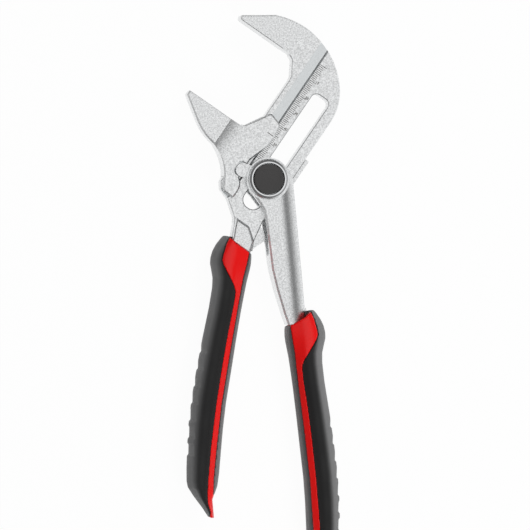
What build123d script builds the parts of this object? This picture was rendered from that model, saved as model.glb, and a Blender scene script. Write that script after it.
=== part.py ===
from build123d import *
import math
import os

# Pliers wrench with a slotted jaw handle, a sliding jaw, a forked lever and a push-button height lock.
# Millimetres. The origin is where the pivot axis meets the resting plane, +Z along the pivot axis towards
# the button, +Y towards the jaws. The pose is the open one, with the jaws set to a wide nut.

# Directions in plan, in degrees
rail_lean = 34.5            # the rail leans this far from +Y towards +X
left_tilt = 8.9             # the jaw handle's grip leans this far from -Y towards -X
right_tilt = 6.3            # the lever's grip leans this far from -Y towards +X
squeeze_turn = 9.0          # how far the lever closes

# Heights, measured from the middle plane of the tool
mid_height = 11.0           # middle plane above the resting plane
plate_half = 5.0            # half thickness of the slotted plate
jaw_half = 7.0              # half thickness of the fixed jaw and of the shank
groove_floor = 3.6          # half thickness left between the guide grooves
cheek_clear = 0.15          # gap between the plate and the sliding jaw that straddles it
cheek_top = 8.2             # outer face of the sliding jaw's cheeks
tip_half = 5.6              # half thickness of the sliding jaw at its tip
fork_clear = 0.2            # gap between the plate and the lever's fork
lever_half = 10.0           # half thickness of the lever at its eye
neck_half = 7.6             # half thickness of the lever where it enters its grip
nose_top = 8.0              # outer face of the lever's noses
overrun = 1.0               # how far each cutter runs past what it cuts
edge_bevel = 0.8            # bevel along the forgings' edges
shank_round = 1.5           # rounding along the raised shank
face_stock = 0.5            # cut off the gripping faces after the bevels, which leaves these narrow there

# Rail, slot and guide grooves, measured across the rail from the pivot axis
rail_left = 19.9
rail_right = 11.0
slot_half = 5.1
slot_top = 53.0
slot_bottom = 18.2
slot_corner = 3.2
slot_foot_corner = 4.7      # the slot's lower end is rounder
slot_bevel = 0.4
groove_near = 11.2
groove_far = 17.2
groove_slant = 0.9          # the wall by the ruler leans this much

# Jaws, measured across the rail (reach) and along it from the pivot axis
jaw_reach = 60.6
fixed_face = 61.8
jaw_gap = 46.4
jaw_top = 78.0
sliding_face = fixed_face - jaw_gap

# Adjustment: the rack in the slot's wall and the bolt that meshes with it
rack_pitch = 1.6
rack_teeth = 35
rack_first_share = -5.5     # first tooth's place in pitches from the pivot axis
rack_height = 2.6
tooth_depth = 1.25
tooth_base_share = 0.31     # half width of a tooth at its base and crest, as shares of the pitch
tooth_crest_share = 0.125
tooth_clear = 0.12
undercut_depth = 1.4
adjust_down = 4.8

# Pivot group
eye_radius = 11.5
journal_radius = 9.4
journal_clear = 0.05
block_half_length = 7.4
block_clear = 0.06
cup_radius = 8.4
cup_depth = 2.3
well_radius = 6.0
base_thick = 0.8
button_radius = 8.2
button_thick = 1.7
button_travel = 2.8
stem_radius = 2.2
shoulder_radius = 2.6
stem_clear = 0.06
bezel_base_radius = 10.6
bezel_rim_radius = 9.3
flange_thick = 0.7
bezel_height = 1.8
washer_thick = 0.4
washer_gap = 0.05
bolt_half_length = 2.8
bolt_back = 2.75            # from the pivot axis to the bolt's plain end
clip_thick = 0.6
clip_radius = 2.75
pin_radius = 1.0
pin_place = 5.4
spring_wire = 0.6
spring_radius = 4.6
spring_turns = 3.5
seat_gap = 0.1

# Noses of the lever and the notches that they work in
nose_across = 13.6
nose_below = 3.5
nose_radius = 3.75
nose_clear = 0.3
nose_swing_room = 0.75

# Lever, measured across its grip's line (x) and along it from the pivot axis
lever_right = 13.6
crown_start = 4.6           # the lever's face rounds off from here to its right edge
crown_drop = 4.1
lever_length = 78.0
finger_length = 20.6
finger_thick = 1.9
finger_half = 4.0

# Grips, along each handle from the pivot axis and across it
grip_start = 33.0
grip_length = 149.0
grip_shift = 38.8           # the lever's grip starts this much further down
grip_width = 22.0
grip_half_thick = 10.2
rib_count = 7
rib_pitch = 9.15
rib_start = 63.3
rib_depth = 0.8
rib_round = 13.4            # curve of the pad's outer side, which the ribs follow
tang_middle = 10.6
tang_width = 6.0
tang_half = 3.0
tang_length = 118.0
sleeve_wall = 1.2


def turned(shape, degrees):
    """Turns a shape about the pivot axis."""
    return Rot(0, 0, degrees) * shape


def spots(shares, across, along):
    """Places the points of an outline as shares of two sizes."""
    return [(across * a, along * b) for a, b in shares]


def raised(outline, low, high):
    """An outline raised from one height to another."""
    return Pos(0, 0, low) * extrude(outline, high - low)


def slab(points, low, high):
    """A straight-sided outline raised from one height to another."""
    return raised(make_face(Polyline(*points, close=True)), low, high)


def bevelled(solid, size):
    """Bevels the edges round the top and bottom faces of a slab."""
    faces = solid.faces().sort_by(Axis.Z)
    return chamfer(faces[0].edges() + faces[-1].edges(), size)


def block(x0, x1, y0, y1, z0, z1):
    """A box between two corners."""
    size = Box(x1 - x0, y1 - y0, z1 - z0, align=(Align.MIN, Align.MIN, Align.MIN))
    return Pos(x0, y0, z0) * size


def disc(radius, low, high):
    """A round on the pivot axis between two heights."""
    return Pos(0, 0, low) * Cylinder(radius, high - low, align=(Align.CENTER, Align.CENTER, Align.MIN))


def both_sides(shape):
    """A shape and its copy behind the middle plane."""
    return shape + mirror(shape, about=Plane.XY)


# Outlines as shares of jaw_reach across the rail and jaw_top along it
back_arc_shares = ((-0.75, 0.956), (-0.576, 0.994), (-0.37, 0.998), (-0.086, 0.916), (0.099, 0.778),
                   (0.155, 0.69))
rail_end_share = 0.56
step_shares = ((-0.40, 0.99), (-0.54, 0.79))
step_foot_share = -0.50
gullet_start_share = -0.455
gullet_shares = ((-0.41, 0.77), (-0.335, 0.672))
gullet_end_share = 0.64
foot_start_share = -0.19
foot_shares = ((-0.285, -0.235), (-0.185, -0.262), (-0.05, -0.34), (-0.02, -0.375), (0.03, -0.46),
               (0.25, -0.46), (0.21, -0.39))
foot_end_share = -0.26
lug_shares = ((0.15, -0.28), (0.24, -0.30), (0.295, -0.348), (0.25, -0.44), (0.15, -0.44))
shank_shares = ((-0.035, -0.335), (0.104, -0.335), (0.165, -0.37), (0.215, -0.402), (0.235, -0.455),
                (0.248, -0.49), (0.05, -0.49), (0.035, -0.455), (-0.005, -0.39))


def fixed_jaw_outline(left_points):
    """The jaw's back as one line and three arcs, closed along the points given."""
    a, b, c, d, e, f = spots(back_arc_shares, jaw_reach, jaw_top)
    g = (rail_right, rail_end_share * jaw_top)
    tip = (-jaw_reach, fixed_face + 2 * overrun)
    face = fixed_face - face_stock
    end = (gullet_start_share * jaw_reach, face)
    lines = Polyline(g, *left_points, end, (-jaw_reach + overrun, face), tip, a)
    arcs = [ThreePointArc(a, b, c), ThreePointArc(c, d, e), ThreePointArc(e, f, g)]
    return make_face(Curve() + [lines, *arcs])


def rack_undercut():
    """The channel in the slot's wall, with the rack's teeth left standing in its front part."""
    wall = -slot_half - undercut_depth
    low = rack_pitch * (rack_first_share - 1)
    high = low + rack_pitch * (rack_teeth + 1)
    comb = [(-slot_half + overrun, low), (wall, low)]
    for tooth in range(rack_teeth):
        middle = rack_pitch * (rack_first_share + tooth)
        base = tooth_base_share * rack_pitch
        crest = tooth_crest_share * rack_pitch
        top = wall + tooth_depth
        comb += [(wall, middle - base), (top, middle - crest), (top, middle + crest), (wall, middle + base)]
    comb += [(wall, high), (-slot_half + overrun, high)]
    room = block(wall, -slot_half + overrun, low, high, -button_travel - clip_thick, 0)
    return slab(comb, 0, rack_height) + room


def slot_cut():
    """The slot, rounder at its foot, with a small bevel at each face of the plate."""
    outline = Pos(0, (slot_top - slot_bottom) / 2) * Rectangle(2 * slot_half, slot_top + slot_bottom)
    corners = outline.vertices().sort_by(Axis.Y)
    outline = fillet(corners[:2], slot_foot_corner)
    outline = fillet(outline.vertices().sort_by(Axis.Y)[-2:], slot_corner)
    rim = raised(offset(outline, slot_bevel + overrun), plate_half - slot_bevel, plate_half + overrun)
    rim = chamfer(rim.faces().sort_by(Axis.Z)[0].edges(), 0.99 * (slot_bevel + overrun))
    return raised(outline, -2 * jaw_half, 2 * jaw_half) + both_sides(rim)


def guide_groove():
    """The front guide groove; its wall beside the ruler leans."""
    profile = [(-groove_far, groove_floor), (-groove_near - groove_slant, groove_floor),
               (-groove_near, plate_half), (-groove_near, 2 * jaw_half), (-groove_far, 2 * jaw_half)]
    return Rot(90, 0, 0) * slab(profile, -2 * jaw_top, jaw_top)


def jaw_handle():
    """The main forging: fixed jaw, slotted plate, shank and tang."""
    gullet = [*spots(gullet_shares, jaw_reach, jaw_top), (-rail_left, gullet_end_share * jaw_top)]
    foot = [(-rail_left, foot_start_share * jaw_top), *spots(foot_shares, jaw_reach, jaw_top),
            (rail_right, foot_end_share * jaw_top)]
    plate = raised(fixed_jaw_outline([*reversed(foot), *reversed(gullet)]), -plate_half, plate_half)
    plate = bevelled(plate, 0.6 * edge_bevel)
    step = spots(step_shares, jaw_reach, jaw_top)
    jaw = raised(fixed_jaw_outline([*reversed(gullet)]), -jaw_half, jaw_half)
    jaw = bevelled(jaw, edge_bevel)
    far = 2 * jaw_top
    keep = slab([(-2 * jaw_reach, 0), (step_foot_share * jaw_reach, 0), step[1], step[0], (step[0][0], far),
                 (-2 * jaw_reach, far)], -2 * jaw_half, 2 * jaw_half)
    shank = slab(spots(shank_shares, jaw_reach, jaw_top), -jaw_half, jaw_half)
    faces = shank.faces().sort_by(Axis.Z)
    shank = fillet(faces[0].edges() + faces[-1].edges(), shank_round)
    lug = slab(spots(lug_shares, jaw_reach, jaw_top), -0.5 * plate_half, 0.5 * plate_half)
    tang = block(-tang_middle - tang_width / 2, -tang_middle + tang_width / 2, -grip_start - tang_length,
                 -grip_start, -tang_half, tang_half)
    below = block(-2 * jaw_reach, gullet_start_share * jaw_reach, 0, fixed_face, -2 * jaw_half, 2 * jaw_half)
    rail = plate + (jaw & keep) + lug - below - slot_cut() - both_sides(guide_groove()) - rack_undercut()
    return turned(rail + shank, -rail_lean) + turned(tang, -left_tilt)


# The sliding jaw, as shares of jaw_reach across the rail and jaw_gap along it
belly_arc_shares = ((-0.807, 0.106), (-0.70, 0.030), (-0.57, -0.013), (-0.40, -0.145), (-0.302, -0.323))
heel_shares = ((-0.285, -0.37), (-0.262, -0.40), (-0.165, -0.405), (-0.157, -0.385), (-0.157, -0.30),
               (-0.165, -0.245), (-0.187, -0.20), (-0.215, -0.17))
throat_shares = ((-0.2225, 0.035), (-0.2225, 0.067), (-0.196, 0.17))
brow_arc_shares = ((-0.158, 0.38), (-0.173, 0.576))
crest_shares = ((-0.185, 0.60), (-0.283, 0.64), (-0.306, 0.635), (-0.41, 0.40), (-0.435, 0.352))
face_end_share = -0.46
nest_shares = ((-0.471, 1.0), (-0.471, 0.316), (-0.415, 0.285), (-0.335, 0.115), (-0.31, 0.06), (-0.31, 1.0))
ramp_start_share = 0.56
ramp_end_share = 0.36
ramp_sag_share = 0.29       # how much of the ramp's drop is reached halfway
lip_shares = (-0.36, 0.55)


def sliding_jaw_outline():
    """The jaw in plan: straight gripping face, hollow belly, rounded heel and brow."""
    a, b, c, d, e = spots(belly_arc_shares, jaw_reach, jaw_gap)
    heel = spots(heel_shares, jaw_reach, jaw_gap)
    throat = spots(throat_shares, jaw_reach, jaw_gap)
    over, brow = spots(brow_arc_shares, jaw_reach, jaw_gap)
    crest = spots(crest_shares, jaw_reach, jaw_gap)
    face = sliding_face + face_stock
    low = 0.83 * sliding_face
    end = (face_end_share * jaw_reach, face)
    sides = [Polyline(e, *heel, *throat), ThreePointArc(throat[-1], over, brow),
             Polyline(brow, *crest, end, (-jaw_reach, face), (-jaw_reach, low), a),
             ThreePointArc(a, b, c), ThreePointArc(c, d, e)]
    return make_face(Curve() + sides)


def tip_thinning():
    """Takes the front of the jaw's tip down, with a ramp that rises steeply and then rounds off."""
    start = -ramp_start_share * jaw_reach
    end = -ramp_end_share * jaw_reach
    middle = ((start + end) / 2, cheek_top - ramp_sag_share * (cheek_top - tip_half))
    ramp = ThreePointArc((end, cheek_top), middle, (start, tip_half))
    rest = Polyline((start, tip_half), (-2 * jaw_reach, tip_half), (-2 * jaw_reach, 2 * cheek_top),
                    (end, 2 * cheek_top), (end, cheek_top))
    return Rot(90, 0, 0) * raised(make_face(Curve() + [ramp, rest]), -jaw_top, jaw_top)


def sliding_jaw():
    """The jaw that straddles the left rail and is moved by the lever's noses."""
    outline = sliding_jaw_outline()
    body = bevelled(raised(outline, -cheek_top, cheek_top), edge_bevel) - both_sides(tip_thinning())
    tip = bevelled(raised(outline, -tip_half, tip_half), edge_bevel)
    beyond = block(-2 * jaw_reach, -ramp_start_share * jaw_reach, -jaw_top, jaw_top, -cheek_top, cheek_top)
    body = (body - beyond) + (tip & beyond)
    body -= block(-2 * jaw_reach, face_end_share * jaw_reach, sliding_face, 2 * jaw_gap, -2 * cheek_top,
                  2 * cheek_top)
    inner = plate_half + cheek_clear
    rail_room = block(-rail_left - cheek_clear, jaw_reach, -jaw_top, jaw_top, -inner, inner)
    nest = slab(spots(nest_shares, jaw_reach, jaw_gap), -inner, inner)
    reach = nose_across + nose_radius + nose_swing_room
    half = nose_radius + nose_clear
    notch = raised(Pos(-reach / 2, -nose_below) * RectangleRounded(reach, 2 * half, 0.66 * half),
                   -2 * cheek_top, 2 * cheek_top)
    low, high = lip_shares
    lip = block(-groove_far + cheek_clear, -groove_near - groove_slant - cheek_clear, low * jaw_gap,
                high * jaw_gap, groove_floor + cheek_clear, inner)
    return body - rail_room - nest + both_sides(lip) - notch


# The lever, as shares of lever_right across its line and lever_length along it
left_edge_shares = ((-0.86, 0.0), (-0.62, -0.10), (-0.386, -0.172), (-0.30, -0.205), (-0.257, -0.297),
                    (-0.243, -0.41), (-0.221, -0.61), (-0.107, -0.756), (0.086, -0.93), (0.18, -1.0))
right_edge_shares = ((0.93, -1.0), (0.965, -0.67), (0.985, -0.33), (1.0, -0.10), (1.0, 0.0), (0.86, 0.05))


def in_lever_frame(shape, turn=0):
    """Takes a shape from the rail's frame to the lever's, the rail turned a little further if asked."""
    return turned(shape, turn - rail_lean - right_tilt)


def fork_pocket():
    """The room between the lever's cheeks that the plate and the shank pass through."""
    gap = plate_half + fork_clear
    shank_gap = jaw_half + fork_clear
    room = None
    for turn in (0, squeeze_turn):
        rail = block(-2 * jaw_reach, rail_right + 2 * fork_clear, -2 * jaw_top, 2 * jaw_top, -gap, gap)
        foot = block(-2 * jaw_reach, 0.31 * jaw_reach, -2 * jaw_top, adjust_down - 0.27 * jaw_top, -gap, gap)
        shank = block(-2 * jaw_reach, 0.25 * jaw_reach, -2 * jaw_top, adjust_down - 0.33 * jaw_top,
                      -shank_gap, shank_gap)
        here = in_lever_frame(rail + foot + shank, turn)
        room = here if room is None else room + here
    return room


def lever_outline():
    """The lever in plan, from its eye to the end of its neck."""
    return [*spots(left_edge_shares, lever_right, lever_length),
            *spots(right_edge_shares, lever_right, lever_length)]


def lever_crown():
    """Rounds the lever's face off towards its right edge."""
    low = lever_half - crown_drop
    arc = TangentArc((crown_start, lever_half), (lever_right, low), tangent=(1, 0))
    rest = Polyline((lever_right, low), (2 * lever_right, low), (2 * lever_right, 2 * lever_half),
                    (crown_start, 2 * lever_half), (crown_start, lever_half))
    fall = math.degrees(math.atan2(lever_half - neck_half, lever_length))
    lean = math.degrees(math.atan2(lever_right * (right_edge_shares[-2][0] - right_edge_shares[0][0]),
                                   lever_length))
    prism = Rot(90, 0, 0) * raised(make_face(Curve() + [arc, rest]), -lever_length, 2 * lever_length)
    return Rot(0, 0, -lean) * (Rot(fall, 0, 0) * prism)


def lever():
    """The forked lever: two eyes with a nose each, the web beside the rail, the neck and the tang."""
    body = slab(lever_outline(), -lever_half, lever_half)
    far = 2 * lever_length
    taper_start = 0.34 * lever_length
    taper = slab([(-far, far), (-far, neck_half), (-lever_length, neck_half), (-taper_start, lever_half),
                  (-taper_start, far)], -far, far)
    body -= both_sides(Rot(0, 90, 0) * (Rot(0, 0, 90) * taper))
    body -= both_sides(lever_crown())
    rims = [edge for edge in body.edges() if abs(edge.center().Z) > 0.99 * neck_half
            and -lever_length * 0.99 < edge.center().Y and edge.center().X < 0.0]
    body = chamfer(rims, 1.25 * edge_bevel)
    eye = disc(eye_radius, -lever_half, lever_half)
    nose_x, nose_y = -nose_across, -nose_below
    nose = raised(Pos(nose_x, nose_y) * Circle(nose_radius), plate_half + fork_clear, nose_top)
    angle = math.degrees(math.atan2(nose_y, nose_x))
    neck = Rot(0, 0, angle) * block(0, math.hypot(nose_x, nose_y), -nose_radius, 0.8 * nose_radius,
                                    plate_half + fork_clear, nose_top)
    finger = block(rail_right + 2 * fork_clear, rail_right + 2 * fork_clear + finger_thick,
                   -0.3 * finger_length, finger_length, -finger_half, finger_half)
    bore = disc(journal_radius + journal_clear, -far, far)
    tang = block(tang_middle - tang_width / 2, tang_middle + tang_width / 2,
                 -grip_start - grip_shift - tang_length, -lever_length * 0.9, -tang_half, tang_half)
    forging = body + eye + in_lever_frame(finger) - fork_pocket()
    forging += in_lever_frame(both_sides(nose + neck))
    return turned(forging - bore + tang, right_tilt)


def slot_block():
    """The block that slides in the slot and holds the lock bolt."""
    half = slot_half - block_clear
    body = raised(RectangleRounded(2 * half, 2 * block_half_length, slot_corner), -plate_half, plate_half)
    window = block(-2 * half, bolt_back + 2 * seat_gap, -bolt_half_length - seat_gap,
                   bolt_half_length + seat_gap, -button_travel - clip_thick - 3 * seat_gap,
                   rack_height + 3 * seat_gap)
    bore = disc(shoulder_radius + stem_clear, 0, 2 * plate_half) + disc(stem_radius + stem_clear,
                                                                        -2 * plate_half, 0)
    return body - window - bore - pins(journal_clear)


def pins(extra=0):
    """The two dowel pins, or their holes."""
    both = None
    for side in (-1, 1):
        pin = Pos(0, side * pin_place) * disc(pin_radius + extra, -lever_half * 0.8, plate_half + seat_gap
                                              + base_thick * 0.75)
        both = pin if both is None else both + pin
    return both


def front_bush():
    """The front journal, with the cup that the button sinks into and a flange over the lever's eye."""
    low = plate_half + seat_gap
    flange_low = lever_half + washer_gap * 2 + washer_thick
    flange = disc(bezel_base_radius, flange_low, flange_low + flange_thick)
    body = disc(journal_radius, low, flange_low) + flange
    cup = disc(cup_radius, flange_low - cup_depth, flange_low + overrun)
    well = disc(well_radius, low + base_thick, flange_low)
    bore = disc(shoulder_radius + stem_clear, 0, 2 * lever_half)
    return body - cup - well - bore - pins(journal_clear)


def bezel_ring():
    """The bright conical ring round the button."""
    low = lever_half + washer_gap * 2 + washer_thick + flange_thick
    cone = Pos(0, 0, low) * Cone(bezel_base_radius, bezel_rim_radius, bezel_height,
                                 align=(Align.CENTER, Align.CENTER, Align.MIN))
    return cone - disc(cup_radius, 0, 2 * lever_half)


def rear_bush():
    """The rear journal and its flange, which the tool rests on."""
    flange_low = lever_half + washer_gap * 2 + washer_thick
    body = disc(journal_radius, -flange_low, -plate_half - seat_gap) + disc(bezel_base_radius, -mid_height,
                                                                            -flange_low)
    bore = disc(stem_radius + stem_clear, -flange_low, 0)
    return body - bore - pins(journal_clear)


def washer(low):
    """A thrust washer between an eye and a flange."""
    return disc(bezel_base_radius - seat_gap, low, low + washer_thick) - disc(
        journal_radius + journal_clear, -2 * lever_half, 2 * lever_half)


def button_underside():
    """Height of the button's underside when it is out."""
    return lever_half + 2 * washer_gap + washer_thick + flange_thick + bezel_height + seat_gap - button_thick


def push_button():
    """The round cap that frees the bolt."""
    low = button_underside()
    cap = disc(button_radius, low, low + button_thick)
    return chamfer(cap.faces().sort_by(Axis.Z)[-1].edges(), 0.2 * button_thick)


def button_stem():
    """The stem from the button to the bolt, with a shoulder above the bolt."""
    low = -plate_half - cup_depth * 0.6
    shoulder = disc(shoulder_radius, rack_height + seat_gap, button_underside())
    shaft = disc(stem_radius, low, rack_height + seat_gap)
    groove = disc(2 * stem_radius, -clip_thick - seat_gap, -seat_gap) - disc(
        0.8 * stem_radius, -clip_thick - seat_gap, -seat_gap)
    return shoulder + shaft - groove


def stem_clip():
    """The retaining ring under the bolt."""
    ring = disc(clip_radius, -clip_thick - 0.8 * seat_gap, -1.2 * seat_gap)
    mouth = block(-0.5 * stem_radius, 0.5 * stem_radius, 0, 2 * stem_radius, -2 * clip_thick, clip_thick)
    return ring - disc(0.8 * stem_radius + stem_clear, -2 * clip_thick, clip_thick) - mouth


def lock_bolt():
    """The toothed bolt; pushed down, its teeth drop out of the rack into the plain channel."""
    half = slot_half - block_clear
    wall = -slot_half - undercut_depth
    body = block(-half, bolt_back, -bolt_half_length, bolt_half_length, 0, rack_height)
    root_half = (0.5 - tooth_crest_share) * rack_pitch - tooth_clear
    crest_half = (0.5 - tooth_base_share) * rack_pitch - 0.6 * tooth_clear
    teeth = None
    for place in (-1, 0, 1):
        middle = place * rack_pitch
        tooth = slab([(-half + seat_gap, middle - root_half), (wall + tooth_clear, middle - crest_half),
                      (wall + tooth_clear, middle + crest_half), (-half + seat_gap, middle + root_half)],
                     0, rack_height)
        teeth = tooth if teeth is None else teeth + tooth
    return body + teeth - disc(stem_radius + stem_clear, -overrun, rack_height + overrun)


def button_spring():
    """The spring under the button, one round wire wound between two seats."""
    low = plate_half + seat_gap + base_thick + 0.5 * spring_wire + 0.5 * seat_gap
    high = button_underside() - 0.5 * spring_wire - 0.5 * seat_gap
    pitch = (high - low) / spring_turns
    path = Pos(0, 0, low) * Helix(pitch=pitch, height=high - low, radius=spring_radius)
    section = Plane(origin=path @ 0, z_dir=path % 0) * RegularPolygon(spring_wire / 2, 6)
    print("spring gap between turns", round(pitch - spring_wire, 2))
    return sweep(section, path=path, is_frenet=True)


# The grip: stations along it, as shares of its length, with its outer and inner edge as shares of its
# width from the handle's line, its half thickness as a share of the largest, and how full its inner side is
station_shares = ((-0.03, 0.66, 0.18, 0.84, 1.0), (0.01, 0.86, 0.14, 0.92, 1.0),
                  (0.035, 0.955, 0.10, 0.97, 1.0), (0.06, 1.015, 0.06, 1.0, 0.9),
                  (0.085, 1.037, 0.045, 1.0, 0.75), (0.105, 1.025, 0.05, 0.985, 0.6),
                  (0.13, 0.967, 0.065, 0.955, 0.45), (0.155, 0.91, 0.08, 0.93, 0.3),
                  (0.19, 0.885, 0.09, 0.91, 0.15), (0.26, 0.888, 0.105, 0.90, 0),
                  (0.37, 0.928, 0.115, 0.90, 0), (0.48, 0.955, 0.117, 0.90, 0),
                  (0.59, 0.965, 0.122, 0.90, 0), (0.68, 0.942, 0.10, 0.90, 0),
                  (0.76, 0.894, 0.064, 0.89, 0), (0.84, 0.825, 0.025, 0.88, 0),
                  (0.885, 0.775, 0.02, 0.84, 0), (0.905, 0.725, 0.045, 0.80, 0),
                  (0.935, 0.545, 0.09, 0.69, 0), (0.97, 0.30, 0.03, 0.56, 0), (1.0, 0.115, -0.02, 0.44, 0))
crown_share = 0.42          # the grip is thickest here, across it from its outer edge

# The flat slope of the inner side: where it starts and ends, as shares of the inner side's width, and its
# heights there as shares of the half thickness, at the thinnest and what the fullest adds
slope_shares = ((0.30, 0.89, 0.06), (0.88, 0.40, 0.32))

# The mouth, as shares of grip_width both ways, and the red layer's edges, whose places along the grip are
# shares of its length
mouth_shares = ((-2.0, 0.0), (-0.73, 0.0), (-0.51, 0.16), (-0.13, 0.32), (2.0, 0.32), (2.0, -7.0),
                (-2.0, -7.0))
red_left_shares = ((-0.69, 0.004), (-0.75, 0.03), (-0.79, 0.073), (-0.795, 0.088), (-0.755, 0.102),
                   (-0.585, 0.137), (-0.415, 0.17), (-0.345, 0.193), (-0.34, 0.24), (-0.375, 0.345),
                   (-0.39, 0.45), (-0.39, 0.60), (-0.355, 0.76), (-0.305, 0.86), (-0.27, 0.91),
                   (-0.21, 0.95), (-0.11, 0.98), (-0.09, 1.1))
red_right_shares = ((2.0, 0.93), (-0.10, 0.918), (-0.165, 0.855), (-0.205, 0.755), (-0.25, 0.60),
                    (-0.24, 0.40), (-0.222, 0.26), (-0.21, 0.14), (-0.18, 0.087), (-0.165, 0.05))


def grip_station(along, outer, inner, thick, full):
    """One cross-section of the grip: round on its outer side, sloping to a blunt nose on its inner side."""
    left = -outer * grip_width
    right = -inner * grip_width
    half = thick * grip_half_thick
    crown = left + crown_share * (right - left)
    where = Plane(origin=(crown, -grip_start - along * grip_length, 0), x_dir=(1, 0, 0), z_dir=(0, -1, 0))
    start, end = [((right - crown) * a, half * (b + full * c)) for a, b, c in slope_shares]
    upper = [TangentArc((0, half), start, tangent=(1, 0)), Line(start, end)]
    lower = [mirror(side, about=Plane.XZ) for side in upper]
    nose = ThreePointArc(end, (right - crown, 0), (end[0], -end[1]))
    outside = EllipticalCenterArc((0, 0), crown - left, half, 90, arc_size=180)
    return where * make_face(Curve() + [outside, *upper, nose, *reversed(lower)])


def grip_outer_edge(along):
    """Distance of the grip's outer edge from the handle's line, at a share of its length."""
    for one, two in zip(station_shares, station_shares[1:]):
        if one[0] <= along <= two[0]:
            part = (along - one[0]) / (two[0] - one[0])
            return grip_width * (one[1] + part * (two[1] - one[1]))
    return 0


def grip_zone(shares, length):
    """A part of the grip's plan, through its whole thickness."""
    points = [(grip_width * a, -grip_start - length * b) for a, b in shares]
    return slab(points, -2 * grip_half_thick, 2 * grip_half_thick)


def rib_cut(rib):
    """A saw-tooth groove round the pad's outer side, deepest at its lower end."""
    shoulder = rib_start + rib * rib_pitch
    height = 0.7 * rib_pitch
    base = (Align.CENTER, Align.CENTER, Align.MIN)
    round_left = Cone(rib_round - rib_depth, rib_round + 0.1 * rib_depth, height, align=base)
    ring = Cylinder(rib_round + 2 * overrun, height, align=base) - round_left
    middle = rib_round - grip_outer_edge(shoulder / grip_length)
    return Pos(middle, -grip_start - shoulder, 0) * (Rot(-90, 0, 0) * ring)


def grip_pieces(carrier):
    """A grip left of its handle's line: outer pad, red layer, inner band and inner sleeve."""
    body = loft([grip_station(*station) for station in station_shares], ruled=True)
    body -= grip_zone(mouth_shares, grip_width) + carrier
    sleeve_half = tang_half + sleeve_wall
    left = -tang_middle - tang_width / 2 - sleeve_wall
    right = left + tang_width + 2 * sleeve_wall
    top = -grip_start
    end = top - tang_length
    body -= block(left, right, end - sleeve_wall, 2 * grip_start, -sleeve_half, sleeve_half)
    sleeve = block(left, right, end - sleeve_wall, top, -sleeve_half, sleeve_half) - carrier
    sleeve -= block(left + sleeve_wall, right - sleeve_wall, end, 0, -tang_half, tang_half)
    red_zone = grip_zone([(-0.70, -0.1), *red_left_shares, (2.0, 1.1), *red_right_shares, (-0.12, -0.1)],
                         grip_length)
    band_zone = grip_zone([(2.0, -0.1), (-0.12, -0.1), *reversed(red_right_shares)], grip_length)
    black = body - red_zone - band_zone
    for rib in range(rib_count):
        black -= rib_cut(rib)
    return {"grip_black": black, "grip_red": body & red_zone, "grip_band": body & band_zone,
            "grip_sleeve": sleeve}


def main():
    """Builds each piece at its height above the resting plane and writes it."""
    pieces = {"jaw_handle": jaw_handle(), "lever": lever()}
    in_rail_frame = {"sliding_jaw": sliding_jaw(), "slot_block": slot_block(), "front_bush": front_bush(),
                     "rear_bush": rear_bush(), "bezel_ring": bezel_ring(), "bush_pins": pins(),
                     "push_button": push_button(), "button_stem": button_stem(), "stem_clip": stem_clip(),
                     "lock_bolt": lock_bolt(), "button_spring": button_spring(),
                     "front_washer": washer(lever_half + washer_gap),
                     "rear_washer": washer(-lever_half - washer_gap - washer_thick)}
    for name, shape in in_rail_frame.items():
        pieces[name] = turned(shape, -rail_lean)
    foot = slab(spots(foot_shares, jaw_reach, jaw_top), -plate_half, plate_half)
    shank = slab(spots(shank_shares, jaw_reach, jaw_top), -jaw_half, jaw_half) + foot
    for name, shape in grip_pieces(turned(shank, left_tilt - rail_lean)).items():
        pieces["left_" + name] = turned(shape, -left_tilt)
    neck = Pos(0, grip_shift, 0) * slab(lever_outline(), -neck_half, neck_half)
    for name, shape in grip_pieces(mirror(neck, about=Plane.YZ)).items():
        other = mirror(shape, about=Plane.YZ)
        pieces["right_" + name] = turned(Pos(0, -grip_shift, 0) * other, right_tilt)
    os.makedirs("parts", exist_ok=True)
    for name, shape in pieces.items():
        export_step(Pos(0, 0, mid_height) * shape, f"parts/{name}.step")


main()
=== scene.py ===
import math

import bpy
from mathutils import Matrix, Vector


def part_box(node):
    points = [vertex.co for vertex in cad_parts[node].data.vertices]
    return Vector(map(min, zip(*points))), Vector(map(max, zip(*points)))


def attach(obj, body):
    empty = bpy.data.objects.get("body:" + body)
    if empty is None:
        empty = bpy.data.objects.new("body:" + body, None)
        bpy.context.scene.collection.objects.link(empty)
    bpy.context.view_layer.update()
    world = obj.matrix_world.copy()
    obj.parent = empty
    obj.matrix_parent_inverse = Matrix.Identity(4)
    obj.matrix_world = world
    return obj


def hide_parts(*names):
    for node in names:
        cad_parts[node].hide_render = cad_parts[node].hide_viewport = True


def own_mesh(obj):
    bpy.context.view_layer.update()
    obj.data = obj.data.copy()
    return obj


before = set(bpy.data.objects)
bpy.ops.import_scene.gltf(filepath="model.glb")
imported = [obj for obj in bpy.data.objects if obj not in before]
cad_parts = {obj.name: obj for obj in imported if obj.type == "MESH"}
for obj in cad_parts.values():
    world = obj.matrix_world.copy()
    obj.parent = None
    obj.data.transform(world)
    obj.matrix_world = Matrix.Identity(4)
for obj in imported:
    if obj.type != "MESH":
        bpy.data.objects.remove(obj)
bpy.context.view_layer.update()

bl_info = {
    "name": "Pliers Wrench",
    "version": (1, 0, 0),
    "blender": (4, 5, 0),
    "location": "View3D > Sidebar > Pliers Wrench",
    "description": "Finishes an adjustable pliers wrench round its fixed frame",
    "category": "Add Mesh",
}

MM = 0.001
MERGE = 0.001 * MM                      # points nearer than this become one

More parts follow.
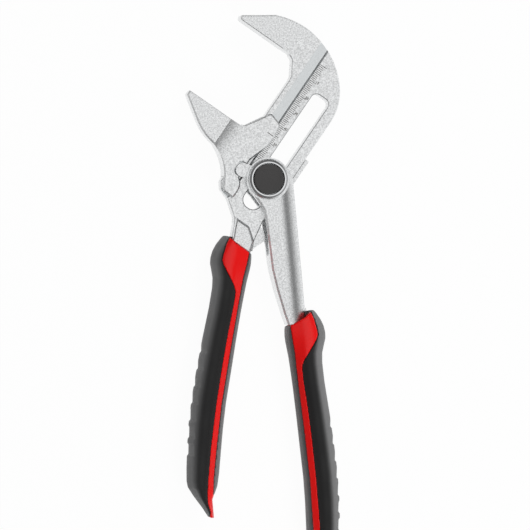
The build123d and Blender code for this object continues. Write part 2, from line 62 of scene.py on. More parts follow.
# Heights and angles of the CAD model
PLATE_FRONT = 16.0 * MM                 # front face of the slotted plate
GROOVE_FLOORS = (14.6 * MM, 7.4 * MM)   # floors of the front and the rear guide groove
RAIL_LEAN = math.radians(34.5)          # the rail leans this far to the right of straight up
LEFT_TILT = math.radians(8.9)           # the left grip's outer side turns this far towards the jaws
RIGHT_TILT = math.radians(6.3)          # and the right grip's

FORGINGS = ("jaw_handle", "sliding_jaw", "lever")
MACHINED = ("slot_block", "front_bush", "rear_bush", "bush_pins", "front_washer", "rear_washer",
            "button_stem", "lock_bolt", "stem_clip", "button_spring")

# Sizes of the button's cap and the ring round it
CAP_EDGE = 0.45 * MM                    # radius of the rounded edge
CAP_DISH = 0.12 * MM                    # depth of the dished middle
RING_BORE = 8.4 * MM                    # radius
RING_RIM = 9.2 * MM                     # radius of the top edge
RING_CONE_HEIGHT = 1.15 * MM

# The ring's section in millimetres: how far out of the rim or the bore, and how far below the top
RING_CONE = ((0.78, 0.62), (0.66, 0.60), (0.03, 0.03), (-0.04, 0.0))
RING_LIP = ((0.22, 0.0), (0.05, 0.08), (0.0, 0.22))

# Brightness of the studio room, by height from 0 at the horizon to 1 straight above
PLAIN_WALL = ((0.0, 0.08), (0.4, 0.12), (0.78, 0.17), (0.93, 0.92))
DIM_WALL = ((0.0, 0.60), (0.25, 0.45), (0.45, 0.12), (0.78, 0.17), (0.93, 0.92))
BRIGHT_WALL = ((0.0, 0.85), (0.3, 0.60), (0.6, 0.18), (0.8, 0.20), (0.92, 0.95))

# Where the picture's centre, the lamps and their aim lie, in metres
FOCUS = Vector((-0.37 * MM, -45.5 * MM, 11 * MM))
LAMPS = (("far_side", (0.45, 0.8, 0.95)), ("near_side", (0.45, -0.9, 0.95)))
LAMP_AIM = (0, -0.04, 0)


def on_rail(across, along, height):
    """A point given across and along the rail, in metres in the row frame."""
    x = across * math.cos(RAIL_LEAN) + along * math.sin(RAIL_LEAN)
    y = -across * math.sin(RAIL_LEAN) + along * math.cos(RAIL_LEAN)
    return Vector((x, y, height))


class SteelSettings(bpy.types.PropertyGroup):
    """Sizes and colours of the steel."""

    plate_colour: bpy.props.FloatVectorProperty(
        name="Plating", description="Colour of the satin plating on the forgings", subtype="COLOR", size=3,
        min=0, max=1, default=(0.83, 0.84, 0.845))
    plate_roughness: bpy.props.FloatProperty(
        name="Plating Roughness", description="How satin the forgings are", subtype="FACTOR", min=0, max=1,
        default=0.30)
    grain_size: bpy.props.FloatProperty(
        name="Grain", description="Size of the blasted grain under the plating", subtype="DISTANCE",
        unit="LENGTH", default=0.75 * MM)
    grain_depth: bpy.props.FloatProperty(
        name="Grain Depth", description="Depth of the blasted grain", subtype="DISTANCE", unit="LENGTH",
        default=0.06 * MM)
    machined_colour: bpy.props.FloatVectorProperty(
        name="Machined Steel", description="Colour of the machined grooves and inner pieces",
        subtype="COLOR", size=3, min=0, max=1, default=(0.74, 0.765, 0.775))


class RulerSettings(bpy.types.PropertyGroup):
    """Sizes and colour of the ruler on the rail and the pointer beside it."""

    zero_along: bpy.props.FloatProperty(
        name="Zero", description="Place of the zero mark along the rail from the pivot", subtype="DISTANCE",
        unit="LENGTH", default=66.6 * MM)
    edge_across: bpy.props.FloatProperty(
        name="Edge", description="Place of the marks' ends across the rail", subtype="DISTANCE",
        unit="LENGTH", default=-11.05 * MM)
    marks: bpy.props.IntProperty(name="Marks", description="Number of millimetres marked", default=60)
    short_mark: bpy.props.FloatProperty(
        name="Short Mark", description="Length of a mark at each millimetre", subtype="DISTANCE",
        unit="LENGTH", default=2.8 * MM)
    middle_mark: bpy.props.FloatProperty(
        name="Middle Mark", description="Length of a mark at each 5 millimetres", subtype="DISTANCE",
        unit="LENGTH", default=3.5 * MM)
    long_mark: bpy.props.FloatProperty(
        name="Long Mark", description="Length of a mark at each 10 millimetres", subtype="DISTANCE",
        unit="LENGTH", default=4.2 * MM)
    mark_width: bpy.props.FloatProperty(
        name="Mark Width", description="Width of an engraved mark", subtype="DISTANCE", unit="LENGTH",
        default=0.28 * MM)
    mark_height: bpy.props.FloatProperty(
        name="Mark Height", description="How far the marks' black filling stands proud", subtype="DISTANCE",
        unit="LENGTH", default=0.02 * MM)
    numeral_size: bpy.props.FloatProperty(
        name="Numeral Size", description="Size of the numerals", subtype="DISTANCE", unit="LENGTH",
        default=1.95 * MM)
    numeral_gap: bpy.props.FloatProperty(
        name="Numeral Gap", description="Distance from the marks' ends to the numerals", subtype="DISTANCE",
        unit="LENGTH", default=3.2 * MM)
    pointer_across: bpy.props.FloatProperty(
        name="Pointer Across", description="Place of the pointer's middle across the rail",
        subtype="DISTANCE", unit="LENGTH", default=-12.3 * MM)
    pointer_along: bpy.props.FloatProperty(
        name="Pointer Along", description="Place of the pointer along the rail from the pivot",
        subtype="DISTANCE", unit="LENGTH", default=20.35 * MM)
    pointer_length: bpy.props.FloatProperty(
        name="Pointer Length", description="Length of the pointer mark", subtype="DISTANCE", unit="LENGTH",
        default=3.6 * MM)
    pointer_width: bpy.props.FloatProperty(
        name="Pointer Width", description="Width of the pointer mark", subtype="DISTANCE", unit="LENGTH",
        default=0.35 * MM)
    ink: bpy.props.FloatVectorProperty(
        name="Ink", description="Colour of the filled marks", subtype="COLOR", size=3, min=0, max=1,
        default=(0.045, 0.040, 0.036))


class ButtonSettings(bpy.types.PropertyGroup):
    """Colours of the push button and its ring, and how round they are."""

    cap_colour: bpy.props.FloatVectorProperty(
        name="Cap", description="Colour of the button's cap", subtype="COLOR", size=3, min=0, max=1,
        default=(0.052, 0.050, 0.050))
    ring_colour: bpy.props.FloatVectorProperty(
        name="Ring", description="Colour of the bright ring", subtype="COLOR", size=3, min=0, max=1,
        default=(0.86, 0.87, 0.88))
    ring_roughness: bpy.props.FloatProperty(
        name="Ring Roughness", description="How satin the ring is", subtype="FACTOR", min=0, max=1,
        default=0.16)
    segments: bpy.props.IntProperty(name="Segments", description="Sides of a turned piece", default=96)


class GripSettings(bpy.types.PropertyGroup):
    """Colours of the soft grips, and of the painted sheen on their rubber."""

    black: bpy.props.FloatVectorProperty(
        name="Black", description="Colour of the soft outer pad", subtype="COLOR", size=3, min=0, max=1,
        default=(0.010, 0.010, 0.0103))
    # Painted sheen: the paler colour the rubber is blended to where it faces outward and turns from the
    # eye, in place of side light
    bloom: bpy.props.FloatVectorProperty(
        name="Painted Sheen", description="Colour of the rubber where it turns away from the eye", subtype="COLOR",
        size=3, min=0, max=1, default=(0.19, 0.19, 0.192))
    band: bpy.props.FloatVectorProperty(
        name="Band", description="Colour of the inner band", subtype="COLOR", size=3, min=0, max=1,
        default=(0.054, 0.056, 0.057))
    red: bpy.props.FloatVectorProperty(
        name="Red", description="Colour of the red layer", subtype="COLOR", size=3, min=0, max=1,
        default=(0.90, 0.001, 0.0005))
    sleeve: bpy.props.FloatVectorProperty(
        name="Sleeve", description="Colour of the hard inner sleeve", subtype="COLOR", size=3, min=0, max=1,
        default=(0.020, 0.020, 0.021))
    voxel: bpy.props.FloatProperty(
        name="Mesh Size", description="Size of a face of the moulded layers", subtype="DISTANCE",
        unit="LENGTH", default=0.45 * MM)
    softening: bpy.props.IntProperty(
        name="Softening", description="How far the lips are rounded", default=3)


class StageSettings(bpy.types.PropertyGroup):
    """The view, the floor and the lights."""

    view_tilt: bpy.props.FloatProperty(
        name="View Tilt", description="How far the camera stands to the left of straight above",
        subtype="ANGLE", unit="ROTATION", default=math.radians(8))
    view_width: bpy.props.FloatProperty(
        name="View Width", description="Width of the picture at the tool", subtype="DISTANCE",
        unit="LENGTH", default=281.9 * MM)
    lens: bpy.props.FloatProperty(name="Lens", description="Focal length in millimetres", default=300)
    floor_size: bpy.props.FloatProperty(
        name="Floor Size", description="Length of a side of the floor", subtype="DISTANCE", unit="LENGTH",
        default=3)
    floor_gap: bpy.props.FloatProperty(
        name="Floor Gap", description="How far the floor lies below the tool", subtype="DISTANCE",
        unit="LENGTH", default=0.1 * MM)
    floor_colour: bpy.props.FloatVectorProperty(
        name="Floor", description="Colour of the floor", subtype="COLOR", size=3, min=0, max=1,
        default=(0.93, 0.93, 0.93))
    glow_share: bpy.props.FloatProperty(
        name="White Share", description="How much of the floor shows as plain white", subtype="FACTOR",
        min=0, max=1, default=0.96)
    lamp_size: bpy.props.FloatProperty(
        name="Lamp Size", description="Length of a lamp's side", subtype="DISTANCE", unit="LENGTH",
        default=0.6)
    lamp_power: bpy.props.FloatProperty(
        name="Lamp Power", description="Power of each lamp in watts", unit="POWER", default=5.5)
    bright_side: bpy.props.FloatVectorProperty(
        name="Bright Side", description="Direction of the room's bright wall", subtype="XYZ", size=3,
        default=(0.94, -0.34, 0.0))
    bright_reach: bpy.props.FloatVectorProperty(
        name="Bright Reach", description="Where the bright wall starts and is full, as cosines",
        subtype="NONE", size=2, default=(0.30, 0.75))
    dim_side: bpy.props.FloatVectorProperty(
        name="Dim Side", description="Direction of the room's dimmer wall", subtype="XYZ", size=3,
        default=(-1.0, 0.0, 0.0))
    dim_reach: bpy.props.FloatVectorProperty(
        name="Dim Reach", description="Where the dimmer wall starts and is full, as cosines",
        subtype="NONE", size=2, default=(0.55, 0.85))


# Small modelling helpers

def clear_selection():
    """Deselects everything before a new piece is added."""
    if bpy.context.object and bpy.context.object.mode != "OBJECT":
        bpy.ops.object.mode_set(mode="OBJECT")
    bpy.ops.object.select_all(action="DESELECT")


def pick(obj):
    """Makes one object the only selected and active one."""
    clear_selection()
    obj.select_set(True)
    bpy.context.view_layer.objects.active = obj


def settle(obj, name, material, body, smooth=30):
    """Names a finished piece, leaves its place in its mesh and sets it on its body."""
    pick(obj)
    bpy.ops.object.transform_apply(location=True, rotation=True, scale=True)
    bpy.ops.object.shade_smooth_by_angle(angle=math.radians(smooth))
    obj.name = name
    obj.data.name = name
    obj.data.materials.clear()
    obj.data.materials.append(material)
    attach(obj, body)
    return obj


def join(objects):
    """Joins several meshes into the first."""
    pick(objects[0])
    for obj in objects:
        obj.select_set(True)
    bpy.ops.object.join()
    return bpy.context.view_layer.objects.active


def merged_copy(node):
    """A copy of a frame node's mesh with its doubles merged, free of the frame."""
    clear_selection()
    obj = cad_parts[node].copy()
    obj.data = obj.data.copy()
    obj.parent = None
    bpy.context.scene.collection.objects.link(obj)
    pick(obj)
    bpy.ops.object.mode_set(mode="EDIT")
    bpy.ops.mesh.select_all(action="SELECT")
    bpy.ops.mesh.remove_doubles(threshold=MERGE)
    bpy.ops.object.mode_set(mode="OBJECT")
    return obj


def turned_piece(profile, segments):
    """Turns a piece on the pivot axis, ring by ring from a circle, from (radius, height) points."""
    clear_selection()
    radius, height = profile[0]
    bpy.ops.mesh.primitive_circle_add(vertices=segments, radius=radius, location=(0, 0, height))
    obj = bpy.context.active_object
    bpy.ops.object.transform_apply(location=True, rotation=True, scale=True)
    bpy.ops.object.mode_set(mode="EDIT")
    bpy.ops.mesh.select_all(action="SELECT")
    for next_radius, next_height in profile[1:]:
        rise = (0, 0, next_height - height)
        bpy.ops.mesh.extrude_edges_move(TRANSFORM_OT_translate={"value": rise})
        ratio = next_radius / radius
        bpy.ops.transform.resize(value=(ratio, ratio, 1), center_override=(0, 0, next_height))
        radius, height = next_radius, next_height
    bpy.ops.mesh.select_all(action="SELECT")
    bpy.ops.mesh.remove_doubles(threshold=MERGE)
    bpy.ops.mesh.select_all(action="DESELECT")
    bpy.ops.mesh.select_non_manifold(extend=False)
    if obj.data.total_edge_sel:
        bpy.ops.mesh.edge_face_add()
    bpy.ops.mesh.select_all(action="SELECT")
    bpy.ops.mesh.normals_make_consistent(inside=False)
    bpy.ops.object.mode_set(mode="OBJECT")
    return obj


# Shader nodes

class Nodes:
    """A node tree and short ways to add to it."""

    def __init__(self, tree):
        self.tree = tree

    def add(self, kind):
        """Adds a node of this kind."""
        return self.tree.nodes.new(kind)

    def feed(self, socket, value):
        """Links a node's output to a socket, or sets the socket to a number or a colour."""
        if isinstance(value, bpy.types.NodeSocket):
            self.tree.links.new(value, socket)
        else:
            socket.default_value = value

    def calculate(self, operation, *values):
        """The result of a sum on outputs and numbers."""
        node = self.add("ShaderNodeMath")
        node.operation = operation
        for socket, value in zip(node.inputs, values):
            self.feed(socket, value)
        return node.outputs[0]

    def span(self, value, low, high, from_low=0.3, from_high=0.7):
        """A value mapped to run from low to high, and no further."""
        node = self.add("ShaderNodeMapRange")
        node.inputs["From Min"].default_value = from_low
        node.inputs["From Max"].default_value = from_high
        node.inputs["To Min"].default_value = low
        node.inputs["To Max"].default_value = high
        self.feed(node.inputs["Value"], value)
        return node.outputs["Result"]

    def blend(self, factor, first, second):
        """A mix of two colours, or outputs with colours."""
        node = self.add("ShaderNodeMix")
        node.data_type = "RGBA"
        for socket, value in ((node.inputs[6], first), (node.inputs[7], second)):
            self.feed(socket, value if isinstance(value, bpy.types.NodeSocket) else (*value, 1))
        self.feed(node.inputs["Factor"], factor)
        return node.outputs[2]

    def height(self, place):
        """The height of a place."""
        parts = self.add("ShaderNodeSeparateXYZ")
        self.feed(parts.inputs[0], place)
        return parts.outputs["Z"]


def grain_group():
    """A fine blasted grain and a slow cloudiness, as masks round a half."""
    if "grain" in bpy.data.node_groups:
        return bpy.data.node_groups["grain"]
    group = bpy.data.node_groups.new("grain", "ShaderNodeTree")
    for name, direction, kind in (("Vector", "INPUT", "Vector"), ("Size", "INPUT", "Float"),
                                  ("Fine", "OUTPUT", "Float"), ("Cloud", "OUTPUT", "Float")):
        group.interface.new_socket(name=name, in_out=direction, socket_type=f"NodeSocket{kind}")
    nodes = Nodes(group)
    inlet = nodes.add("NodeGroupInput").outputs
    outlet = nodes.add("NodeGroupOutput").inputs
    fine = nodes.add("ShaderNodeTexNoise")
    fine.inputs["Detail"].default_value = 3.0
    fine.inputs["Roughness"].default_value = 0.6
    nodes.feed(fine.inputs["Vector"], inlet["Vector"])
    nodes.feed(fine.inputs["Scale"], nodes.calculate("DIVIDE", 1.0, inlet["Size"]))
    cloud = nodes.add("ShaderNodeTexNoise")
    cloud.inputs["Scale"].default_value = 90.0          # a cloud is about 11 mm wide
    cloud.inputs["Detail"].default_value = 2.0
    nodes.feed(cloud.inputs["Vector"], inlet["Vector"])
    nodes.feed(outlet["Fine"], fine.outputs["Fac"])
    nodes.feed(outlet["Cloud"], cloud.outputs["Fac"])
    return group


class Finish(Nodes):
    """A material under construction, with its Principled shader."""

    def __init__(self, name):
        self.material = bpy.data.materials.new(name)
        self.material.use_nodes = True
        super().__init__(self.material.node_tree)
        self.shader = self.tree.nodes["Principled BSDF"]
        self.place = self.add("ShaderNodeTexCoord").outputs["Object"]

    def grain(self, size):
        """The outputs of the shared grain at this size: Fine and Cloud."""
        node = self.add("ShaderNodeGroup")
        node.node_tree = grain_group()
        node.inputs["Size"].default_value = size
        self.feed(node.inputs["Vector"], self.place)
        return node.outputs

    def near_height(self, heights, reach):
        """A mask of the faces that lie at any of these heights."""
        mask = 0.0
        height = self.height(self.place)
        for wanted in heights:
            mask = self.calculate("MAXIMUM", mask, self.calculate("COMPARE", height, wanted, reach))
        return mask

    def fade(self, value, mask):
        """A value that shrinks to a tenth where the mask is one."""
        return self.calculate("MULTIPLY", value, self.span(mask, 1.0, 0.1, from_low=0.0, from_high=1.0))

    def bump(self, height, distance):
        """A normal from a height mask, this deep in metres."""
        node = self.add("ShaderNodeBump")
        node.inputs["Strength"].default_value = 1.0
        node.inputs["Distance"].default_value = distance
        self.feed(node.inputs["Height"], height)
        return node.outputs["Normal"]

    def set(self, **values):
        """Sets or links the shader's sockets by name, with _ for a space."""
        for name, value in values.items():
            self.feed(self.shader.inputs[name.replace("_", " ")], value)


def shade(colour, share):
    """A colour made lighter or darker by a share."""
    return tuple(min(1.0, part * share) for part in colour)


def plated_steel(settings):
    """Satin plating over a blasted forging, with the guide grooves ground smooth."""
    finish = Finish("plated_steel")
    grain = finish.grain(settings.grain_size)
    ground = finish.near_height(GROOVE_FLOORS, reach=0.05 * MM)
    speck = finish.span(grain["Fine"], 0.0, 1.0, from_low=0.38, from_high=0.62)
    plate = finish.blend(speck, shade(settings.plate_colour, 0.82), shade(settings.plate_colour, 1.14))
    rough = settings.plate_roughness
    finish.set(Base_Color=finish.blend(ground, plate, settings.machined_colour), Metallic=1.0,
               Roughness=finish.span(grain["Fine"], rough + 0.06, rough - 0.06),
               Normal=finish.bump(finish.fade(grain["Fine"], ground), settings.grain_depth))
    return finish.material


def machined_steel(settings):
    """Finely ground bare steel."""
    finish = Finish("machined_steel")
    grain = finish.grain(0.3 * settings.grain_size)
    colour = finish.blend(grain["Cloud"], shade(settings.machined_colour, 0.94),
                          shade(settings.machined_colour, 1.04))
    finish.set(Base_Color=colour, Metallic=1.0, Roughness=finish.span(grain["Cloud"], 0.24, 0.34),
               Normal=finish.bump(grain["Fine"], 0.25 * settings.grain_depth))
    return finish.material


def ink_black(settings):
    """The black filling of the engraved marks."""
    finish = Finish("ink_black")
    grain = finish.grain(0.2 * MM)
    finish.set(Base_Color=finish.blend(grain["Fine"], settings.ink, shade(settings.ink, 2.2)),
               Roughness=finish.span(grain["Fine"], 0.5, 0.7))
    return finish.material


def button_black(settings):
    """Matt moulded plastic with faint turned rings."""
    finish = Finish("button_black")
    grain = finish.grain(0.35 * MM)
    rings = finish.add("ShaderNodeTexWave")
    rings.wave_type = "RINGS"
    rings.rings_direction = "Z"
    rings.inputs["Scale"].default_value = 900.0         # rings about 0.35 mm apart
    finish.feed(rings.inputs["Vector"], finish.place)
    colour = finish.blend(grain["Fine"], shade(settings.cap_colour, 0.9), shade(settings.cap_colour, 1.15))
    finish.set(Base_Color=colour, Roughness=finish.span(grain["Cloud"], 0.5, 0.6),
               Normal=finish.bump(rings.outputs["Fac"], 0.006 * MM))
    return finish.material


def bright_ring(settings):
    """Smooth bright plating of the ring."""
    finish = Finish("bright_ring")
    grain = finish.grain(1.4 * MM)
    colour = finish.blend(grain["Cloud"], shade(settings.ring_colour, 0.96), settings.ring_colour)
    rough = settings.ring_roughness
    finish.set(Base_Color=colour, Metallic=1.0, Normal=finish.bump(grain["Fine"], 0.004 * MM),
               Roughness=finish.span(grain["Cloud"], rough - 0.03, rough + 0.05))
    return finish.material


def soft_rubber(name, colour, bloom, rough):
    """Soft moulded rubber with a fine texture and a painted sheen: paler where its open side turns from the
    eye.
    """
    finish = Finish(name)
    grain = finish.grain(0.45 * MM)
    varied = finish.blend(grain["Cloud"], shade(colour, 0.88), shade(colour, 1.14))
    # Painted sheen: the stored side mask times the turn from the eye blends the rubber to its paler colour,
    # standing in for side light
    side = finish.add("ShaderNodeAttribute")
    side.attribute_name = "side"
    turn = finish.add("ShaderNodeLayerWeight")
    turn.inputs["Blend"].default_value = 0.5
    pale = finish.calculate(
        "MULTIPLY", finish.span(side.outputs["Fac"], 0.0, 1.0, from_low=0.1, from_high=0.5),
        finish.span(turn.outputs["Facing"], 0.0, 1.0, from_low=0.0, from_high=0.3))
    finish.set(Base_Color=finish.blend(pale, varied, bloom), Specular_IOR_Level=0.5,
               Roughness=finish.span(grain["Cloud"], rough - 0.05, rough + 0.05),
               Normal=finish.bump(grain["Fine"], 0.022 * MM))
    return finish.material


def red_layer(settings):
    """Smooth red moulded layer with a soft gloss."""
    finish = Finish("red_layer")
    grain = finish.grain(0.8 * MM)
    colour = finish.blend(grain["Cloud"], shade(settings.red, 0.92), shade(settings.red, 1.06))
    finish.set(Base_Color=colour, Specular_IOR_Level=0.45, Normal=finish.bump(grain["Fine"], 0.006 * MM),
               Roughness=finish.span(grain["Cloud"], 0.28, 0.36))
    return finish.material


def floor_paper(settings):
    """Pale paper that keeps shadows and is mostly plain white to the camera, in metal and through glass."""
    finish = Finish("floor_paper")
    grain = finish.grain(1.2 * MM)
    colour = finish.blend(grain["Cloud"], shade(settings.floor_colour, 0.99), settings.floor_colour)
    finish.set(Base_Color=colour, Roughness=0.9)
    path = finish.add("ShaderNodeLightPath").outputs
    seen = path["Is Camera Ray"]
    for ray in ("Is Glossy Ray", "Is Transmission Ray"):
        seen = finish.calculate("MAXIMUM", seen, path[ray])
    mix = finish.add("ShaderNodeMixShader")
    finish.feed(mix.inputs["Fac"], finish.calculate("MULTIPLY", seen, settings.glow_share))
    finish.feed(mix.inputs[1], finish.shader.outputs[0])
    finish.feed(mix.inputs[2], finish.add("ShaderNodeEmission").outputs[0])
    finish.feed(finish.tree.nodes["Material Output"].inputs["Surface"], mix.outputs[0])
    return finish.material


def paint(node, material):
    """Gives a node of the frame its material."""
    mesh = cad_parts[node].data
    mesh.materials.clear()
    mesh.materials.append(material)


class WRENCH_OT_forgings(bpy.types.Operator):
    """Plates the three forgings"""

    bl_idname = "wrench.forgings"
    bl_label = "Finish Forgings"

    def execute(self, context):
        material = plated_steel(context.scene.wrench_steel)
        for node in FORGINGS:
            paint(node, material)
        return {"FINISHED"}


class WRENCH_OT_mechanism(bpy.types.Operator):
    """Finishes the pivot group and the lock inside it"""

    bl_idname = "wrench.mechanism"
    bl_label = "Finish Mechanism"

    def execute(self, context):
        material = machined_steel(context.scene.wrench_steel)
        for node in MACHINED:
            paint(node, material)
        return {"FINISHED"}


class WRENCH_OT_ruler(bpy.types.Operator):
    """Marks the ruler on the rail and the pointer on the sliding jaw"""

    bl_idname = "wrench.ruler"
    bl_label = "Mark Ruler"

    def bar(self, settings, middle, length, width):
        """A thin bar across the rail, sunk in its face to half its height."""
        clear_selection()
        bpy.ops.mesh.primitive_cube_add(size=1, location=middle, rotation=(0, 0, -RAIL_LEAN),
                                        scale=(length, width, 2 * settings.mark_height))
        return bpy.context.active_object

    def marks(self, settings, step, length):
        """A row of marks along the rail, one every step millimetres, made once and arrayed."""
        middle = on_rail(settings.edge_across + length / 2, settings.zero_along, PLATE_FRONT)
        obj = self.bar(settings, middle, length, settings.mark_width)
        bpy.ops.object.transform_apply(location=True, rotation=True, scale=True)
        array = obj.modifiers.new("marks", "ARRAY")
        array.use_relative_offset = False
        array.use_constant_offset = True
        array.constant_offset_displace = on_rail(0, -step * MM, 0)
        array.count = settings.marks // step + 1
        bpy.ops.object.modifier_apply(modifier="marks")
        return obj

    def numeral(self, settings, value):
        """One number beside its long mark."""
        clear_selection()
        across = settings.edge_across + settings.numeral_gap
        along = settings.zero_along - value * MM + settings.numeral_size / 2
        bpy.ops.object.text_add(location=on_rail(across, along, PLATE_FRONT), rotation=(0, 0, -RAIL_LEAN))
        obj = bpy.context.active_object
        obj.data.body = str(value)
        obj.data.size = settings.numeral_size
        obj.data.extrude = settings.mark_height
        obj.data.offset = 0.02 * settings.numeral_size      # a little bolder
        obj.data.align_x = "LEFT"
        obj.data.align_y = "CENTER"
        obj.data.resolution_u = 3
        bpy.ops.object.convert(target="MESH")
        return obj

    def execute(self, context):
        settings = context.scene.wrench_ruler
        material = ink_black(settings)
        rows = [self.marks(settings, 1, settings.short_mark), self.marks(settings, 5, settings.middle_mark),
                self.marks(settings, 10, settings.long_mark)]
        settle(join(rows), "ruler_marks", material, "jaw_handle")
        numerals = [self.numeral(settings, value) for value in range(10, settings.marks, 10)]
        settle(join(numerals), "ruler_numerals", material, "jaw_handle")
        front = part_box("sliding_jaw")[1].z
        pointer = self.bar(settings, on_rail(settings.pointer_across, settings.pointer_along, front),
                           settings.pointer_length, settings.pointer_width)
        settle(pointer, "pointer_mark", material, "sliding_jaw")
        return {"FINISHED"}


class WRENCH_OT_button(bpy.types.Operator):
    """Turns the push button's cap"""

    bl_idname = "wrench.button"
    bl_label = "Make Button"

    def execute(self, context):
        settings = context.scene.wrench_button
        low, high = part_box("push_button")
        radius = 0.978 * high.x             # clear of the ring, inside the frame's button
        hub = 0.05 * radius                 # radius of the flat middle, which one face closes
        edge = CAP_EDGE
        dished = high.z - CAP_DISH
        profile = [(hub, low.z), (radius - edge, low.z), (radius, low.z + edge), (radius, high.z - edge)]
        steps = 4
        for step in range(1, steps + 1):
            turn = step / steps * math.pi / 2
            profile.append((radius - edge + edge * math.cos(turn), high.z - edge + edge * math.sin(turn)))
        shoulder = 0.84 * radius            # the top falls from here to its dish
        bowl = 0.78 * radius                # radius of the dish
        profile += [(shoulder, high.z - 0.1 * CAP_DISH), (bowl, dished), (hub, dished)]
        material = button_black(settings)
        cap = turned_piece(profile, settings.segments)
        settle(cap, "button_cap", material, "button")
        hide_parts("push_button")
        paint("push_button", material)
        return {"FINISHED"}


class WRENCH_OT_ring(bpy.types.Operator):
    """Turns the bright ring round the button"""

    bl_idname = "wrench.ring"
    bl_label = "Make Ring"

    def execute(self, context):
        settings = context.scene.wrench_button
        low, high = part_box("bezel_ring")
        foot = (RING_BORE, low.z)
        profile = [foot, (high.x, low.z), (high.x, high.z - RING_CONE_HEIGHT)]
        for start, points in ((RING_RIM, RING_CONE), (RING_BORE, RING_LIP)):
            profile += [(start + out * MM, high.z - down * MM) for out, down in points]
        profile.append(foot)
        material = bright_ring(settings)
        ring = turned_piece(profile, settings.segments)
        settle(ring, "button_ring", material, "carriage", smooth=50)
        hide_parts("bezel_ring")
        paint("bezel_ring", material)
        return {"FINISHED"}


class WRENCH_OT_spring(bpy.types.Operator):
    """Copies the button's spring as a merged coil on the carriage"""

    bl_idname = "wrench.spring"
    bl_label = "Make Spring"

    def execute(self, context):
        material = machined_steel(context.scene.wrench_steel)
        coil = merged_copy("button_spring")
        settle(coil, "button_coil", material, "carriage", smooth=40)
        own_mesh(coil)
        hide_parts("button_spring")
        return {"FINISHED"}


class WRENCH_OT_grips(bpy.types.Operator):
    """Moulds the soft layers of both grips and finishes their hard sleeves"""

    bl_idname = "wrench.grips"
    bl_label = "Mould Grips"

    def mark_side(self, obj, direction):
        """Stores how far each point of a layer faces its open side, the mask of the painted sheen that its
        material reads.
        """
        values = [max(0.0, point.normal.dot(direction)) for point in obj.data.vertices]
        obj.data.attributes.new("side", "FLOAT", "POINT").data.foreach_set("value", values)

    def moulded(self, node, name, material, body, slot, settings):
        """A layer in its frame node's form, with rounded lips where the layers meet."""
        obj = merged_copy(node)
        remesh = obj.modifiers.new("even", "REMESH")
        remesh.mode = "VOXEL"
        remesh.voxel_size = settings.voxel
        remesh.use_smooth_shade = True
        soften = obj.modifiers.new("lips", "SMOOTH")
        soften.factor = 0.5
        soften.iterations = settings.softening
        for modifier in ("even", "lips"):
            bpy.ops.object.modifier_apply(modifier=modifier)
        settle(obj, name, material, body, smooth=60)
        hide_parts(node)
        return obj

    def execute(self, context):
        settings = context.scene.wrench_grip
        # The rubbers carry a painted sheen, paler where they face their open side and turn from the eye
        black = soft_rubber("grip_rubber", settings.black, settings.bloom, rough=0.60)
        band = soft_rubber("band_rubber", settings.band, settings.bloom, rough=0.48)
        sleeve = soft_rubber("sleeve_plastic", settings.sleeve, settings.sleeve, rough=0.38)
        layers = (("black", black, "grip_black", 1), ("band", band, "grip_black", -1),
                  ("red", red_layer(settings), "grip_red", 1))
        sides = (("left", "jaw_handle", LEFT_TILT), ("right", "lever", math.pi - RIGHT_TILT))
        for side, body, lean in sides:
            outward = Vector((-math.cos(lean), math.sin(lean), 0))
            for layer, material, slot, turn in layers:
                node = f"{side}_grip_{layer}"
                obj = self.moulded(node, f"{side}_{layer}_layer", material, body, slot, settings)
                self.mark_side(obj, turn * outward)
                paint(node, material)
            paint(f"{side}_grip_sleeve", sleeve)
        return {"FINISHED"}


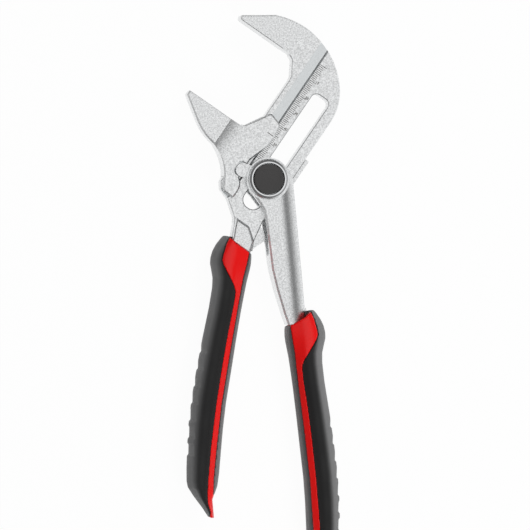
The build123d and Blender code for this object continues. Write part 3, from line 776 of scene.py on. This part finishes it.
class WRENCH_OT_stage(bpy.types.Operator):
    """Sets the camera, the pale floor and the soft light"""

    bl_idname = "wrench.stage"
    bl_label = "Set Stage"

    def camera(self, settings):
        """A long lens over the tool, a little to its left."""
        data = bpy.data.cameras.new("view")
        data.lens = settings.lens
        away = settings.view_width * settings.lens / data.sensor_width
        data.clip_end = 4 * away
        camera = bpy.data.objects.new("view", data)
        back = Vector((-math.sin(settings.view_tilt), 0, math.cos(settings.view_tilt)))
        camera.location = FOCUS + back * away
        camera.rotation_euler = (0, -settings.view_tilt, 0)
        bpy.context.scene.collection.objects.link(camera)
        bpy.context.scene.camera = camera

    def floor(self, settings):
        """A wide pale floor under the tool."""
        clear_selection()
        bpy.ops.mesh.primitive_plane_add(size=settings.floor_size, location=(0, 0, -settings.floor_gap))
        floor = bpy.context.active_object
        floor.name = "floor"
        floor.data.materials.append(floor_paper(settings))

    def lamp(self, settings, name, place):
        """One soft square lamp, which metal doesn't mirror."""
        data = bpy.data.lights.new(name, "AREA")
        data.size = settings.lamp_size
        data.energy = settings.lamp_power
        lamp = bpy.data.objects.new(name, data)
        lamp.visible_glossy = False
        lamp.location = place
        lamp.rotation_euler = (Vector(LAMP_AIM) - Vector(place)).to_track_quat("-Z", "Y").to_euler()
        bpy.context.scene.collection.objects.link(lamp)

    def brightness(self, room, height, stops):
        """Brightness of a wall by height, from (height, brightness) stops."""
        ramp = room.add("ShaderNodeValToRGB")
        ramp.color_ramp.interpolation = "EASE"
        elements = ramp.color_ramp.elements
        for number, (position, value) in enumerate(stops):
            element = elements[number] if number < 2 else elements.new(position)
            element.position = position
            element.color = (value, value, value, 1)
        room.feed(ramp.inputs[0], height)
        return ramp.outputs[0]

    def wall(self, room, place, direction, reach, rest, own):
        """Gives the room a wall toward one direction, softly joined to the rest."""
        toward = room.add("ShaderNodeVectorMath")
        toward.operation = "DOT_PRODUCT"
        toward.inputs[1].default_value = direction
        room.feed(toward.inputs[0], place)
        start, full = reach
        side = room.span(toward.outputs["Value"], 0.0, 1.0, from_low=start, from_high=full)
        return room.blend(side, rest, own)

    def world(self, settings):
        """A studio room: a white panel above, dim walls, and a paler wall low down on each side."""
        world = bpy.data.worlds.new("studio")
        bpy.context.scene.world = world
        world.use_nodes = True
        room = Nodes(world.node_tree)
        place = room.add("ShaderNodeTexCoord").outputs["Generated"]
        height = room.height(place)
        walls = self.brightness(room, height, PLAIN_WALL)
        for direction, reach, stops in ((settings.dim_side, settings.dim_reach, DIM_WALL),
                                        (settings.bright_side, settings.bright_reach, BRIGHT_WALL)):
            own = self.brightness(room, height, stops)
            walls = self.wall(room, place, direction, reach, walls, own)
        room.feed(room.tree.nodes["Background"].inputs["Color"], walls)

    def execute(self, context):
        settings = context.scene.wrench_stage
        self.camera(settings)
        self.floor(settings)
        for name, place in LAMPS:
            self.lamp(settings, name, place)
        self.world(settings)
        context.scene.view_settings.view_transform = "Standard"
        return {"FINISHED"}


SETTINGS = (("wrench_steel", SteelSettings), ("wrench_ruler", RulerSettings),
            ("wrench_button", ButtonSettings), ("wrench_grip", GripSettings),
            ("wrench_stage", StageSettings))
OPERATORS = (WRENCH_OT_forgings, WRENCH_OT_mechanism, WRENCH_OT_ruler, WRENCH_OT_button, WRENCH_OT_ring,
             WRENCH_OT_spring, WRENCH_OT_grips, WRENCH_OT_stage)


class WRENCH_PT_panel(bpy.types.Panel):
    """Lists the settings and the steps that finish the tool"""

    bl_idname = "WRENCH_PT_panel"
    bl_label = "Pliers Wrench"
    bl_space_type = "VIEW_3D"
    bl_region_type = "UI"
    bl_category = "Pliers Wrench"

    def draw(self, context):
        for name, group in SETTINGS:
            box = self.layout.box()
            box.label(text=group.__doc__)
            for field in group.__annotations__:
                box.prop(getattr(context.scene, name), field)
        for operator in OPERATORS:
            self.layout.operator(operator.bl_idname)


def register():
    """Registers the settings, the operators and the panel."""
    for name, group in SETTINGS:
        bpy.utils.register_class(group)
        setattr(bpy.types.Scene, name, bpy.props.PointerProperty(type=group))
    for operator in OPERATORS:
        bpy.utils.register_class(operator)
    bpy.utils.register_class(WRENCH_PT_panel)


def unregister():
    """Takes back what register did."""
    bpy.utils.unregister_class(WRENCH_PT_panel)
    for operator in reversed(OPERATORS):
        bpy.utils.unregister_class(operator)
    for name, group in reversed(SETTINGS):
        delattr(bpy.types.Scene, name)
        bpy.utils.unregister_class(group)


def main():
    """Finishes the tool."""
    register()
    bpy.ops.wrench.forgings()
    bpy.ops.wrench.mechanism()
    bpy.ops.wrench.ruler()
    bpy.ops.wrench.button()
    bpy.ops.wrench.ring()
    bpy.ops.wrench.spring()
    bpy.ops.wrench.grips()
    bpy.ops.wrench.stage()


if __name__ == "__main__":
    main()
